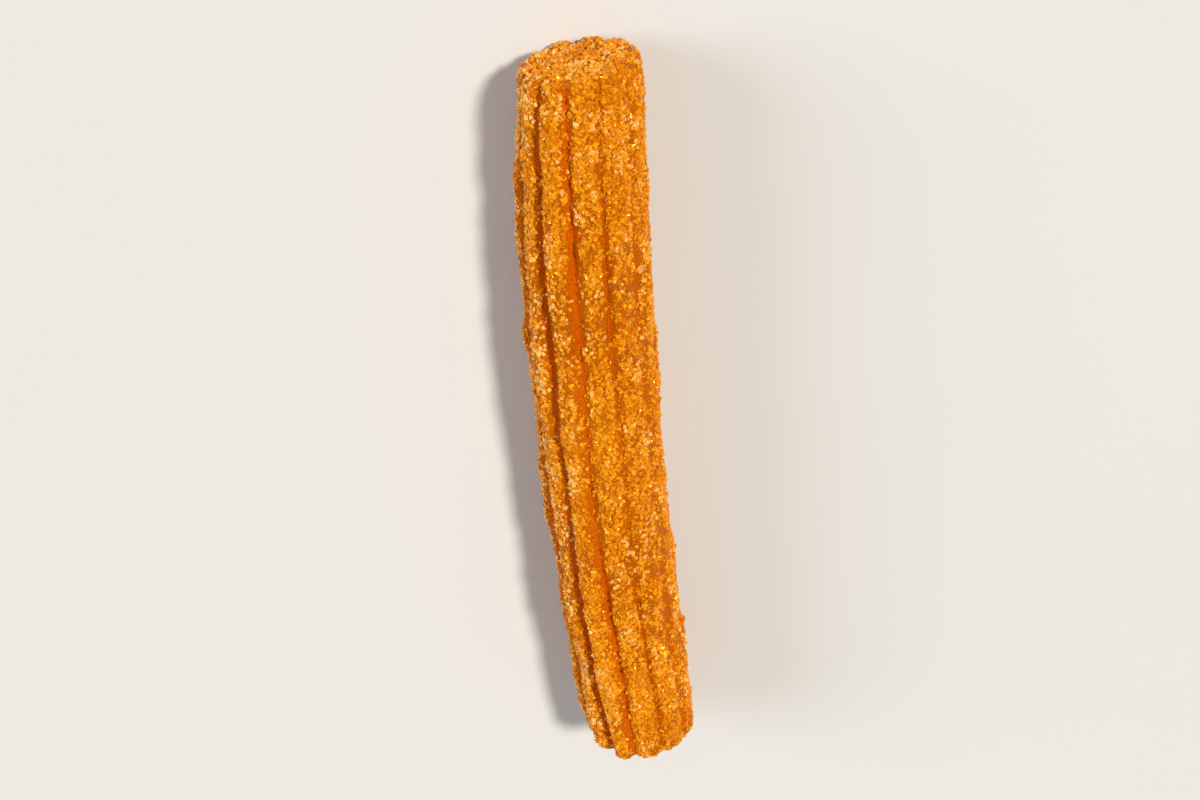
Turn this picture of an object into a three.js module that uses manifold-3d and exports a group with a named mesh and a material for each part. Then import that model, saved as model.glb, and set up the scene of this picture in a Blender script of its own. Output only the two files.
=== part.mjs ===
// A churro: a length of choux dough pressed through a star nozzle, cut at both ends, fried, and rolled in
// coarse sugar while hot. It lies on its side.
//
// Millimetres, +Z up. The churro lies along Y, with its slimmer end towards +Y. The origin is under its
// middle, on the surface that it lies on.

import Module from "manifold-3d";
import * as THREE from "three";
import { mergeVertices } from "three/addons/utils/BufferGeometryUtils.js";

// Driving dimensions of the dough
const LENGTH = 135;
const DIAMETER = 22; // over the ridges, where it is full
const BOW = 2.6; // how far its middle bends out of line, towards -X
const FLAT_DEPTH = 0.9; // how much its weight has pressed flat underneath

// Ridges that the nozzle leaves
const RIDGES = 11;
const GROOVE_DEPTH = 2.1;
const RIDGE_FULLNESS = 2.6; // 1 makes ridges and grooves alike, more makes broader ridges, narrower grooves
const FULLNESS_CHANGE = 0.42; // how much that changes from groove to groove
const SMOOTHER_SIDE_DEG = 45; // the side whose grooves swelled shut most in frying, from the top towards +X
const SMOOTHER_SIDE_LOSS = 0.6; // how much shallower its grooves are
const FIRST_GROOVE_DEG = -12.8; // from the top towards +X, at the middle of the length
const TWIST_DEG_PER_MM = -0.02;
const GROOVE_WANDER = 0.12; // how far a groove strays from its even place, in ridges
const SWAY_DEG = 1.3; // how far a groove sways from side to side along its length
const SWAY_WAVELENGTH = 72;
const DEPTH_CHANGE = 0.34; // how much the depth changes from groove to groove
const DEPTH_FADING = 0.18; // and along a groove
const DEPTH_WAVELENGTH = 80;
const RIDGE_RISE = 0.25; // how much one ridge may stand over another

// Ends
const SLIM_END = 0.89; // girth at the +Y end, as a part of the full girth
const SLIM_END_TAPER = 36; // length over which it narrows
const BLUNT_END = 0.93; // the same for the -Y end
const BLUNT_END_TAPER = 18;
const RIM_RADIUS = 0.9; // rounding between the side and a cut end
const END_DOME = 0.5; // how far the middle of a cut end stands out
const CUT_SLOPE_X = 0.05; // how far a cut leans, in millimetres for each millimetre across
const CUT_SLOPE_Z = -0.08;
const CUT_REACH = 12; // length over which the lean of a cut fades out

// Unevenness of the fried surface
const LUMP_HEIGHT = 0.28;
const LUMP_SPACING = [11, 30];
const CRAG_HEIGHT = 0.13;
const CRAG_SPACING = [5, 9];
const WAVES = 12; // how many waves each kind of unevenness is the sum of

// Coarse sugar: the largest grains
const GRAINS_PER_RIDGE = 11;
const GRAINS_PER_END = 8;
const GRAIN_RADIUS = [0.45, 0.65];
const GRAIN_STRETCH = [0.8, 1.25];
const GRAIN_SUNK = 0.35; // depth of a grain's middle under the surface, as a part of its radius
const GRAIN_FLOOR_GAP = 1; // how high over the floor the lowest grain's middle is
const GRAIN_JITTER = 0.7; // how far a grain strays along its ridge, as a part of the even spacing
const ON_RIDGE = [0.22, 0.78]; // the part of a ridge's width that grains stick to
const END_GRAIN_REACH = 0.85; // how near the rim the outermost grain on a cut end is

// Fineness of the mesh
const FACETS_PER_RIDGE = 6;
const LENGTH_STEPS = 36;
const RIM_STEPS = 3;
const END_RINGS = [0, 0.4, 0.75];
const GROOVE_CROWDING = 0.45; // 0 spaces the facets evenly, more crowds them towards the grooves
const MERGE_DISTANCE = 1e-4;

// Seeds of the random draws
const LUMP_SEED = 11;
const CRAG_SEED = 12;
const WANDER_SEED = 1379;
const FULLNESS_SEED = 338780;
const DEPTH_SEED = 4028;
const RISE_SEED = 2;
const DEPTH_PHASE_SEED = 15;
const SWAY_PHASE_SEED = 49;
const GRAIN_SEED = 31;

const SUGARED_DOUGH_COLOUR = 0xd8801c;

const RADIUS = DIAMETER / 2;
const HALF_LENGTH = LENGTH / 2;
const FULL_TURN = 2 * Math.PI;
const DEGREE = Math.PI / 180;

/** A source of numbers between 0 and 1 that gives the same ones each time for the same seed. */
function seededRandom(seed) {
  let state = seed;
  return () => {
    state = (state + 0x6d2b79f5) | 0;
    let bits = Math.imul(state ^ (state >>> 15), 1 | state);
    bits = (bits + Math.imul(bits ^ (bits >>> 7), 61 | bits)) ^ bits;
    return ((bits ^ (bits >>> 14)) >>> 0) / 2 ** 32;
  };
}

/** A random number in a range given as [lowest, highest]. */
function between(random, [lowest, highest]) {
  return lowest + (highest - lowest) * random();
}

/** Smooth unevenness, mostly between -1 and 1, as a function of a point: a sum of plane waves. */
function makeUnevenness(seed, spacing) {
  const random = seededRandom(seed);
  const waves = Array.from({ length: WAVES }, () => {
    const wavelength = between(random, spacing);
    const direction = new THREE.Vector3(random() - 0.5, random() - 0.5, random() - 0.5).normalize();
    return { direction, frequency: FULL_TURN / wavelength, phase: FULL_TURN * random() };
  });
  return (point) => {
    const sum = waves.reduce(
      (total, wave) => total + Math.sin(wave.direction.dot(point) * wave.frequency + wave.phase),
      0,
    );
    return sum / Math.sqrt(WAVES);
  };
}

const lumps = makeUnevenness(LUMP_SEED, LUMP_SPACING);
const crags = makeUnevenness(CRAG_SEED, CRAG_SPACING);

/** One random number between -1 and 1 for each ridge. */
function oneForEachRidge(seed) {
  const random = seededRandom(seed);
  return Array.from({ length: RIDGES }, () => 2 * random() - 1);
}

const grooveWander = oneForEachRidge(WANDER_SEED);
const fullnessChange = oneForEachRidge(FULLNESS_SEED);
const grooveDepthChange = oneForEachRidge(DEPTH_SEED);
const ridgeRise = oneForEachRidge(RISE_SEED);
const depthPhase = oneForEachRidge(DEPTH_PHASE_SEED);
const swayPhase = oneForEachRidge(SWAY_PHASE_SEED);

/** How far a groove lies round the axis, in radians from the top towards +X. */
function grooveAngle(groove, along) {
  const index = groove % RIDGES;
  const turns = (groove + GROOVE_WANDER * grooveWander[index]) / RIDGES;
  const sway = SWAY_DEG * Math.sin((FULL_TURN * along) / SWAY_WAVELENGTH + Math.PI * swayPhase[index]);
  return (FIRST_GROOVE_DEG + TWIST_DEG_PER_MM * along + sway) * DEGREE + turns * FULL_TURN;
}

/** How deep a groove is. No two grooves are alike, and each fades and deepens along its length. */
function grooveDepth(groove, along) {
  const index = groove % RIDGES;
  const fading = Math.sin((FULL_TURN * along) / DEPTH_WAVELENGTH + Math.PI * depthPhase[index]);
  const facing = Math.max(0, Math.cos(grooveAngle(groove, along) - SMOOTHER_SIDE_DEG * DEGREE));
  const uneven = 1 + DEPTH_CHANGE * grooveDepthChange[index] + DEPTH_FADING * fading;
  return GROOVE_DEPTH * uneven * (1 - SMOOTHER_SIDE_LOSS * facing ** 2);
}

/** How far a place is into a groove: 0 on the crest of a ridge, 1 at the rounded bottom of the groove. */
function intoGroove(groove, across) {
  const fullness = RIDGE_FULLNESS * (1 + FULLNESS_CHANGE * fullnessChange[groove % RIDGES]);
  return (1 - Math.cos(Math.PI * Math.abs(2 * across - 1) ** fullness)) / 2;
}

/** Eases from 0 to 1 over the last stretch before an end. */
function nearEnd(distanceFromEnd, stretch) {
  return THREE.MathUtils.clamp(1 - distanceFromEnd / stretch, 0, 1) ** 2;
}

/** The girth at a place along the length, as a part of the full girth. */
function girth(along) {
  const slimmer = (1 - SLIM_END) * nearEnd(HALF_LENGTH - along, SLIM_END_TAPER);
  const blunter = (1 - BLUNT_END) * nearEnd(HALF_LENGTH + along, BLUNT_END_TAPER);
  return 1 - slimmer - blunter;
}

/**
 * A point of the dough. across runs from 0 to 1 over a ridge, between its two grooves, and reach runs from 0
 * on the axis to 1 on the skin.
 */
function doughPoint(ridge, across, along, reach) {
  const angle = THREE.MathUtils.lerp(grooveAngle(ridge, along), grooveAngle(ridge + 1, along), across);
  const nearerGroove = across < 0.5 ? ridge : ridge + 1;
  const inGroove = intoGroove(nearerGroove, across);
  const onRidge = RIDGE_RISE * ridgeRise[ridge % RIDGES] * (1 - inGroove);
  const lobed = RADIUS * girth(along) + onRidge - inGroove * grooveDepth(nearerGroove, along);
  const outward = new THREE.Vector3(Math.sin(angle), 0, Math.cos(angle));
  const place = outward.clone().multiplyScalar(RADIUS * reach).setY(along);
  const uneven = LUMP_HEIGHT * lumps(place) + CRAG_HEIGHT * crags(place);

  const outOfAxis = reach * (lobed + uneven);
  const point = outward.multiplyScalar(outOfAxis).setY(along);
  const lean = CUT_SLOPE_X * point.x + CUT_SLOPE_Z * point.z;
  const dome = Math.sign(along) * ((1 - reach) * uneven - END_DOME * (outOfAxis / RADIUS) ** 2);
  point.y += (lean + dome) * nearEnd(HALF_LENGTH - Math.abs(along), CUT_REACH);
  point.x -= BOW * (1 - (along / HALF_LENGTH) ** 2);
  point.z = Math.max(point.z, FLAT_DEPTH - RADIUS);
  return point;
}

/** The outline of half a lengthwise cut, from the axis at -Y round to the axis at +Y, as reach and place. */
function lengthwiseOutline() {
  const end = END_RINGS.map((reach) => new THREE.Vector2(reach, HALF_LENGTH));
  const rim = Array.from({ length: RIM_STEPS + 1 }, (_, step) => {
    const turn = (step / RIM_STEPS) * (Math.PI / 2);
    const reach = 1 - (RIM_RADIUS * (1 - Math.sin(turn))) / RADIUS;
    return new THREE.Vector2(reach, HALF_LENGTH - RIM_RADIUS * (1 - Math.cos(turn)));
  });
  const upperEnd = [...end, ...rim];
  const sideEnd = upperEnd.at(-1).y;
  const side = Array.from({ length: LENGTH_STEPS - 1 }, (_, step) => {
    return new THREE.Vector2(1, THREE.MathUtils.lerp(-sideEnd, sideEnd, (step + 1) / LENGTH_STEPS));
  });
  const lowerEnd = upperEnd.map(({ x, y }) => new THREE.Vector2(x, -y));
  return [...lowerEnd, ...side, ...upperEnd.reverse()];
}

/** The ridge that a facet round the axis belongs to, and how far across the ridge the facet starts. */
function ridgeAt(facet) {
  const ridge = Math.floor(facet / FACETS_PER_RIDGE) % RIDGES;
  const even = (facet % FACETS_PER_RIDGE) / FACETS_PER_RIDGE;
  return { ridge, across: even - (GROOVE_CROWDING * Math.sin(FULL_TURN * even)) / FULL_TURN };
}

/** Only the positions, with shared corners merged and the triangles of no size at the two poles dropped. */
function closedSurface(geometry) {
  geometry.deleteAttribute("normal");
  geometry.deleteAttribute("uv");
  const merged = mergeVertices(geometry, MERGE_DISTANCE);
  const corners = merged.index.array;
  const kept = [];
  for (let i = 0; i < corners.length; i += 3) {
    const [a, b, c] = corners.slice(i, i + 3);
    if (a !== b && b !== c && c !== a) kept.push(a, b, c);
  }
  merged.setIndex(kept);
  return merged;
}

/** The dough: a turned shape whose points are moved onto the ridged one. */
function makeDough() {
  const outline = lengthwiseOutline();
  const geometry = new THREE.LatheGeometry(outline, RIDGES * FACETS_PER_RIDGE);
  const positions = geometry.attributes.position;
  for (let i = 0; i < positions.count; i += 1) {
    const { ridge, across } = ridgeAt(Math.floor(i / outline.length));
    const { x: reach, y: along } = outline[i % outline.length];
    const point = doughPoint(ridge, across, along, reach);
    positions.setXYZ(i, point.x, point.y, point.z);
  }
  return closedSurface(geometry);
}

/** A grain of coarse sugar, or two or three that stuck together: an uneven lump with few faces. */
function makeGrain(centre, radius, random) {
  const geometry = closedSurface(new THREE.IcosahedronGeometry(radius, 0));
  geometry.scale(between(random, GRAIN_STRETCH), between(random, GRAIN_STRETCH), 1);
  geometry.rotateX(FULL_TURN * random());
  geometry.rotateZ(FULL_TURN * random());
  geometry.translate(centre.x, centre.y, centre.z);
  return geometry;
}

/** The middle of a grain sunk into the dough, on a ridge or, with reach under 1, on an end. */
function grainCentre(ridge, across, along, reach, radius) {
  const skin = doughPoint(ridge, across, along, reach);
  const inside = reach < 1 ? new THREE.Vector3(skin.x, 0, skin.z) : doughPoint(ridge, across, along, 0);
  return inside.sub(skin).setLength(GRAIN_SUNK * radius).add(skin);
}

/** The largest grains: evenly spread along each ridge and over both ends, none near the floor. */
function makeGrains() {
  const random = seededRandom(GRAIN_SEED);
  const grains = [];
  const addGrain = (ridge, across, along, reach) => {
    const radius = between(random, GRAIN_RADIUS);
    const centre = grainCentre(ridge, across, along, reach, radius);
    const grain = makeGrain(centre, radius, random);
    if (centre.z > FLAT_DEPTH - RADIUS + GRAIN_FLOOR_GAP) grains.push(grain);
  };
  const spacing = (LENGTH - 2 * RIM_RADIUS) / GRAINS_PER_RIDGE;
  for (let ridge = 0; ridge < RIDGES; ridge += 1) {
    for (let i = 0; i < GRAINS_PER_RIDGE; i += 1) {
      const even = (i + 0.5 - GRAINS_PER_RIDGE / 2) * spacing;
      const along = even + GRAIN_JITTER * spacing * (random() - 0.5);
      addGrain(ridge, between(random, ON_RIDGE), along, 1);
    }
  }
  for (const end of [-1, 1]) {
    for (let i = 0; i < GRAINS_PER_END; i += 1) {
      const reach = END_GRAIN_REACH * Math.sqrt((i + 0.5) / GRAINS_PER_END);
      const ridge = Math.floor(RIDGES * random());
      addGrain(ridge, random(), end * HALF_LENGTH, reach);
    }
  }
  return grains;
}

/** Joins closed surfaces into one. */
async function join(surfaces) {
  const library = await Module();
  library.setup();
  const solids = surfaces.map((surface) => {
    const vertProperties = new Float32Array(surface.attributes.position.array);
    const triVerts = new Uint32Array(surface.index.array);
    return new library.Manifold(new library.Mesh({ numProp: 3, vertProperties, triVerts }));
  });
  const joined = solids.reduce((whole, solid) => whole.add(solid));
  const { vertProperties, triVerts } = joined.getMesh();
  const geometry = new THREE.BufferGeometry();
  geometry.setAttribute("position", new THREE.BufferAttribute(vertProperties, 3));
  geometry.setIndex(new THREE.BufferAttribute(triVerts, 1));
  return geometry;
}

/** Moves a shape so that its underside is at height 0 and its box is centred on the origin. */
function standOnOrigin(geometry) {
  geometry.computeBoundingBox();
  const { min, max } = geometry.boundingBox;
  geometry.translate(-(min.x + max.x) / 2, -(min.y + max.y) / 2, -min.z);
  geometry.computeVertexNormals();
  return geometry;
}

const sugaredDough = new THREE.MeshStandardMaterial({
  color: SUGARED_DOUGH_COLOUR,
  roughness: 0.6,
  metalness: 0,
  flatShading: true,
});

const churro = new THREE.Mesh(standOnOrigin(await join([makeDough(), ...makeGrains()])), sugaredDough);
churro.name = "churro";

const group = new THREE.Group();
group.add(churro);

export default group;
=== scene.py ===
"""A fried churro rolled in coarse cinnamon sugar, lying on a pale table.

The file is laid out as an add-on. Run as a script, it builds the churro over the packed model, in metres, in
that model's own axes: the churro lies along Y with its slimmer end towards +Y, and +Z is up.
"""

import math
from typing import NamedTuple

import bpy
import numpy as np
from bpy.props import FloatProperty, FloatVectorProperty, IntProperty, PointerProperty
from mathutils import Matrix, Vector, noise


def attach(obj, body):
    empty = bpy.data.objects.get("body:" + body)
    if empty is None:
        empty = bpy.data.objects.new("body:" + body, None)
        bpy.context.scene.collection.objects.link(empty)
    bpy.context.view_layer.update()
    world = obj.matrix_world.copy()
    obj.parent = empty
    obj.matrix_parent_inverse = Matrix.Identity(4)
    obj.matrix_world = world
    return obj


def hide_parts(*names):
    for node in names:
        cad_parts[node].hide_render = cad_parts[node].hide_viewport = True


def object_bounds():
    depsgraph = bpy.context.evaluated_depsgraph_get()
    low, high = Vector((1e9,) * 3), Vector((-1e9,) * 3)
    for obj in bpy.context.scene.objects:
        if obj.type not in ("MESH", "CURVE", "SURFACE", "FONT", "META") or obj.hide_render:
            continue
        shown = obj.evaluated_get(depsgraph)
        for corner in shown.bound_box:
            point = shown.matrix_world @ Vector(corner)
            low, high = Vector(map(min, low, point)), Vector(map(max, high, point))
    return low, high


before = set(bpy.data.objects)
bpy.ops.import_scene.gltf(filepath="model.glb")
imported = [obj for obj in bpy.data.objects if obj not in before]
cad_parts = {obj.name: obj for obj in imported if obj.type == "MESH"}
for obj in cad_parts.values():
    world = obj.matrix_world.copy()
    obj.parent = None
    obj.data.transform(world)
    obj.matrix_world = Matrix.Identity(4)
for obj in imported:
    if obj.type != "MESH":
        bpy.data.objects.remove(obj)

CAD_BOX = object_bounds()

bl_info = {
    "name": "Sugared Churro",
    "version": (1, 0, 0),
    "blender": (4, 5, 0),
    "location": "3D View > Sidebar > Churro",
    "description": "Builds a fried churro rolled in coarse cinnamon sugar, with its table, lights and camera",
    "category": "Add Mesh",
}

MM = 0.001
FULL_TURN = 2 * math.pi
BODY = "root"
NODE = "churro"
BAKE_MAP = "OFBake"

# The next three groups are the solid's own rules for the dough, which its Blender surface follows.
# Ridges that the nozzle leaves
RIDGES = 11
FULLNESS_CHANGE = 0.42  # how much the fullness changes from groove to groove
SMOOTHER_SIDE_DEG = 45  # the side whose grooves swelled shut most in frying, from the top towards +X
SMOOTHER_SIDE_LOSS = 0.6  # how much shallower its grooves are
FIRST_GROOVE_DEG = -12.8  # from the top towards +X, at the middle of the length
TWIST_DEG_PER_MM = -0.02
GROOVE_WANDER = 0.12  # how far a groove strays from its even place, in ridges
SWAY_DEG = 1.3  # how far a groove sways from side to side along its length
SWAY_WAVELENGTH = 72 * MM
DEPTH_CHANGE = 0.34  # how much the depth changes from groove to groove
DEPTH_FADING = 0.18  # and along a groove
DEPTH_WAVELENGTH = 80 * MM
RIDGE_RISE = 0.25 * MM  # how much one ridge may stand over another

# Ends
SLIM_END = 0.89  # girth at the +Y end, as a part of the full girth
SLIM_END_TAPER = 36 * MM  # length over which it narrows
BLUNT_END = 0.93  # the same for the -Y end
BLUNT_END_TAPER = 18 * MM
RIM_RADIUS = 0.9 * MM  # rounding between the side and a cut end
END_DOME = 0.5 * MM  # how far the middle of a cut end stands out
CUT_SLOPE_X = 0.05  # how far a cut leans, for each step across
CUT_SLOPE_Z = -0.08
CUT_REACH = 12 * MM  # length over which the lean of a cut fades out

# Unevenness of the fried surface
LUMP_HEIGHT = 0.28 * MM
LUMP_SPACING = (11 * MM, 30 * MM)
CRAG_HEIGHT = 0.13 * MM
CRAG_SPACING = (5 * MM, 9 * MM)
WAVES = 12  # how many waves each kind of unevenness is the sum of

# Seeds of the random draws. The first eight are the solid's.
LUMP_SEED = 11
CRAG_SEED = 12
WANDER_SEED = 1379
FULLNESS_SEED = 338780
DEPTH_SEED = 4028
RISE_SEED = 2
DEPTH_PHASE_SEED = 15
SWAY_PHASE_SEED = 49
PATCH_SEED = 8624
LACE_SEED = 41
COARSE_SEED = 51
MEDIUM_SEED = 52
FINE_SEED = 53
CRUSHED_SEED = 54
CINNAMON_SEED = 55

# How far the dough is moved to centre the solid's box on the frame's origin
AXIS_OFFSET_X = 2.041 * MM
AXIS_OFFSET_Y = 0.01 * MM

# Roughness of the crust. Heights and depths are parts of the roughness setting, and reaches are parts of
# a spacing.
TEAR_SIZE = (2.6 * MM, 4.5 * MM, 2.6 * MM)
TEAR_OCTAVES = 4
TEAR_IN_GROOVE = 0.3  # how high a tear is at the bottom of a groove, beside one on a ridge
NOZZLE_STREAK_SIZE = (0.8 * MM, 12 * MM, 0.8 * MM)
NOZZLE_STREAK_OCTAVES = 2
NOZZLE_STREAK_HEIGHT = 0.35
NOZZLE_STREAK_LOSS = 0.6  # how much of it the tears take away on a ridge
BLISTER_SPACING = 4.2 * MM
BLISTER_REACH = 0.3
BLISTER_HEIGHT = 1.1
PORE_SPACING = 1.5 * MM
PORE_REACH = 0.26
PORE_DEPTH = 0.9
PORE_SHIFT = 7.7  # keeps the pores' pattern apart from the blisters'
RIDGE_SLOPE = 1.3  # the more, the narrower the top of a ridge is that tears and blisters
CRUMB_SIZE = 1.7 * MM
CRUMB_OCTAVES = 4
CRUMB_HEIGHT = 2.2
CRUMB_EDGE = 0.2  # how far in from the rim of a cut end the crumb reaches its full height
FRACTAL_INCREMENT = 0.9
LACUNARITY = 2.1

# Fineness of the dough's mesh
FACETS_PER_RIDGE = 18
GROOVE_CROWDING = 0.3  # 0 spaces the facets evenly, more crowds them towards the grooves
SIDE_STEPS = 424
RIM_STEPS = 6
END_RINGS = 17

# Room on the bake map, as shares of its width and height
SIDE_MAP_WIDTH = 0.78
END_MAP_SPAN = 0.2
END_MAP_MIDDLES = (0.25, 0.75)  # how far up the map the disc of the end at -Y is, and the other one
MAP_MARGIN = 0.005
CELL_MARGIN = 0.08  # round a grain, as a part of its cell
FACE_MARGIN = 0.1  # round a face of a grain, as a part of that face's share of the cell

# Where the sugar stuck: broad patches, and a lace of clumps and gaps within them
PATCH_SPACING = (16 * MM, 45 * MM)
LACE_SPACING = (2.2 * MM, 6 * MM)
BARE_DEPTH = 0.6  # how deep in a groove no sugar sticks, as a part of a full groove's depth
BARE_STEEPNESS = 1.2  # the more, the further down a groove's side the sugar reaches
COVER_LIMITS = (0.04, 1.4)  # the least and the most sugar anywhere
END_SHARPNESS = 6  # the more, the nearer to the rim of a cut end the grooves stop

# Shapes of the grains
GRAIN_BREADTH = (0.75, 1.1)  # at least and at most, as parts of the length
SMALLNESS = 1.5  # the more, the commoner the smaller grains of a kind are

# The table is this far under the churro, and no grain comes nearer than this to the floor
FLOOR_GAP = 0.05 * MM

# Lamps: where each shines from, how broad it looks from the churro, and its colour
KEY_SOURCE = (0.3, 0.2, 0.54)
KEY_BREADTH_DEG = 9
KEY_COLOUR = (1.0, 0.92, 0.8)
FILL_SOURCE = (-0.55, 0.15, 0.26)
FILL_BREADTH_DEG = 32
FILL_COLOUR = (0.88, 0.92, 1.0)
DAYLIGHT_COLOUR = (1.0, 0.965, 0.9, 1)

NEAREST_SEEN = 10 * MM  # from the camera


# ---------------------------------------------------------------------------------------------------------
# The form of the dough
# ---------------------------------------------------------------------------------------------------------


def seeded_random(seed):
    """A source of numbers between 0 and 1, the same ones each time for the same seed, as in the solid."""
    mask = 0xFFFFFFFF
    state = seed

    def draw():
        nonlocal state
        state = (state + 0x6D2B79F5) & mask
        bits = ((state ^ (state >> 15)) * (1 | state)) & mask
        bits = ((bits + (((bits ^ (bits >> 7)) * (61 | bits)) & mask)) & mask) ^ bits
        return (bits ^ (bits >> 14)) / 2**32

    return draw


def make_unevenness(seed, wave_count, spacing):
    """Smooth unevenness, mostly between -1 and 1, as a function of points: a sum of plane waves."""
    draw = seeded_random(seed)
    waves = []
    for _ in range(wave_count):
        wavelength = spacing[0] + (spacing[1] - spacing[0]) * draw()
        direction = np.array([draw() - 0.5, draw() - 0.5, draw() - 0.5])
        direction /= np.linalg.norm(direction)
        waves.append((direction * FULL_TURN / wavelength, FULL_TURN * draw()))

    def unevenness(points):
        total = sum(np.sin(points @ direction + phase) for direction, phase in waves)
        return total / math.sqrt(wave_count)

    return unevenness


def one_for_each_ridge(seed):
    """One random number between -1 and 1 for each ridge."""
    draw = seeded_random(seed)
    return np.array([2 * draw() - 1 for _ in range(RIDGES)])


class DoughForm:
    """The ridged form that the nozzle, the knife and the fryer give to the dough."""

    def __init__(self, settings):
        self.radius = settings.diameter / 2
        self.half_length = settings.length / 2
        self.bow = settings.bow
        self.flat_depth = settings.flat_depth
        self.groove_depth = settings.groove_depth
        self.ridge_fullness = settings.ridge_fullness
        self.crust_roughness = settings.crust_roughness
        self.lumps = make_unevenness(LUMP_SEED, WAVES, LUMP_SPACING)
        self.crags = make_unevenness(CRAG_SEED, WAVES, CRAG_SPACING)
        self.wander = one_for_each_ridge(WANDER_SEED)
        self.fullness_change = one_for_each_ridge(FULLNESS_SEED)
        self.depth_change = one_for_each_ridge(DEPTH_SEED)
        self.rise = one_for_each_ridge(RISE_SEED)
        self.depth_phase = one_for_each_ridge(DEPTH_PHASE_SEED)
        self.sway_phase = one_for_each_ridge(SWAY_PHASE_SEED)

    def groove_angle(self, groove, along):
        """How far a groove lies round the axis, in radians from the top towards +X."""
        index = groove % RIDGES
        turns = (groove + GROOVE_WANDER * self.wander[index]) / RIDGES
        sway = SWAY_DEG * np.sin(FULL_TURN * along / SWAY_WAVELENGTH + math.pi * self.sway_phase[index])
        return np.radians(FIRST_GROOVE_DEG + TWIST_DEG_PER_MM * along / MM + sway) + turns * FULL_TURN

    def depth_of_groove(self, groove, along):
        """How deep a groove is. No two are alike, and each fades and deepens along its length."""
        index = groove % RIDGES
        fading = np.sin(FULL_TURN * along / DEPTH_WAVELENGTH + math.pi * self.depth_phase[index])
        facing = np.cos(self.groove_angle(groove, along) - math.radians(SMOOTHER_SIDE_DEG))
        uneven = 1 + DEPTH_CHANGE * self.depth_change[index] + DEPTH_FADING * fading
        return self.groove_depth * uneven * (1 - SMOOTHER_SIDE_LOSS * np.maximum(facing, 0) ** 2)

    def into_groove(self, groove, across):
        """How far a place is into a groove, from 0 on the crest of a ridge to 1 at the groove's bottom."""
        fullness = self.ridge_fullness * (1 + FULLNESS_CHANGE * self.fullness_change[groove % RIDGES])
        return (1 - np.cos(np.pi * np.abs(2 * across - 1) ** fullness)) / 2

    def girth(self, along):
        """The girth at a place along the length, as a part of the full girth."""
        slimmer = (1 - SLIM_END) * near_end(self.half_length - along, SLIM_END_TAPER)
        blunter = (1 - BLUNT_END) * near_end(self.half_length + along, BLUNT_END_TAPER)
        return 1 - slimmer - blunter

    def surface(self, ridge, across, along, reach):
        """Points of the dough, how deep each is in a groove from 0 to 1, and the matching even places.

        across runs from 0 to 1 over a ridge, and reach from 0 on the axis to 1 on the skin.
        """
        first, second = self.groove_angle(ridge, along), self.groove_angle(ridge + 1, along)
        angle = first + (second - first) * across
        nearer_groove = np.where(across < 0.5, ridge, ridge + 1)
        into_groove = self.into_groove(nearer_groove, across)
        depth = self.depth_of_groove(nearer_groove, along)
        on_ridge = RIDGE_RISE * self.rise[ridge % RIDGES] * (1 - into_groove)
        lobed = self.radius * self.girth(along) + on_ridge - into_groove * depth

        place = np.stack(
            [self.radius * reach * np.sin(angle), along, self.radius * reach * np.cos(angle)], axis=-1
        )
        uneven = LUMP_HEIGHT * self.lumps(place) + CRAG_HEIGHT * self.crags(place)
        out = reach * (lobed + uneven)
        in_groove = into_groove * depth / self.groove_depth
        out = out + reach * self.crust_relief(place, in_groove)

        x, z = out * np.sin(angle), out * np.cos(angle)
        lean = CUT_SLOPE_X * x + CUT_SLOPE_Z * z
        dome = np.sign(along) * ((1 - reach) * uneven - END_DOME * (out / self.radius) ** 2)
        cut = near_end(self.half_length - np.abs(along), CUT_REACH)
        y = along + (lean + dome) * cut + np.sign(along) * self.cut_relief(place, reach)
        x = x - self.bow * (1 - (along / self.half_length) ** 2) + AXIS_OFFSET_X
        underside = self.flat_depth - self.radius
        z = np.maximum(z, underside) - underside
        return np.stack([x, y + AXIS_OFFSET_Y, z], axis=-1), in_groove, place

    def crust_relief(self, place, in_groove):
        """Height of the crust's roughness: torn ridges, blisters, pores, and streaks left by the nozzle."""
        amount = self.crust_roughness
        torn = fractal(place, TEAR_SIZE, TEAR_OCTAVES)
        streaks = fractal(place, NOZZLE_STREAK_SIZE, NOZZLE_STREAK_OCTAVES)
        blister = nearest_cell(place, BLISTER_SPACING)
        pore = nearest_cell(place + PORE_SHIFT, PORE_SPACING)
        on_ridge = np.clip(1 - RIDGE_SLOPE * in_groove, 0, 1)
        height = amount * (TEAR_IN_GROOVE + (1 - TEAR_IN_GROOVE) * on_ridge) * torn
        height += NOZZLE_STREAK_HEIGHT * amount * streaks * (1 - NOZZLE_STREAK_LOSS * on_ridge)
        height += BLISTER_HEIGHT * amount * np.clip(1 - (blister / BLISTER_REACH) ** 2, 0, 1) * on_ridge
        height -= PORE_DEPTH * amount * np.clip(1 - (pore / PORE_REACH) ** 2, 0, 1)
        return height

    def cut_relief(self, place, reach):
        """How rough the cut face of an end is, in the direction of the axis."""
        crumb = fractal(place, (CRUMB_SIZE,) * 3, CRUMB_OCTAVES)
        return CRUMB_HEIGHT * self.crust_roughness * crumb * np.clip((1 - reach) / CRUMB_EDGE, 0, 1)


def near_end(distance_from_end, stretch):
    """Eases from 0 to 1 over the last stretch before an end."""
    return np.clip(1 - distance_from_end / stretch, 0, 1) ** 2


def fractal(points, size, octaves):
    """Fractal noise at points, with features of the given size in X, Y and Z."""
    scaled = (points / np.array(size)).reshape(-1, 3)
    values = [noise.fractal(Vector(point), FRACTAL_INCREMENT, LACUNARITY, octaves) for point in scaled]
    return np.array(values).reshape(points.shape[:-1])


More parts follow.
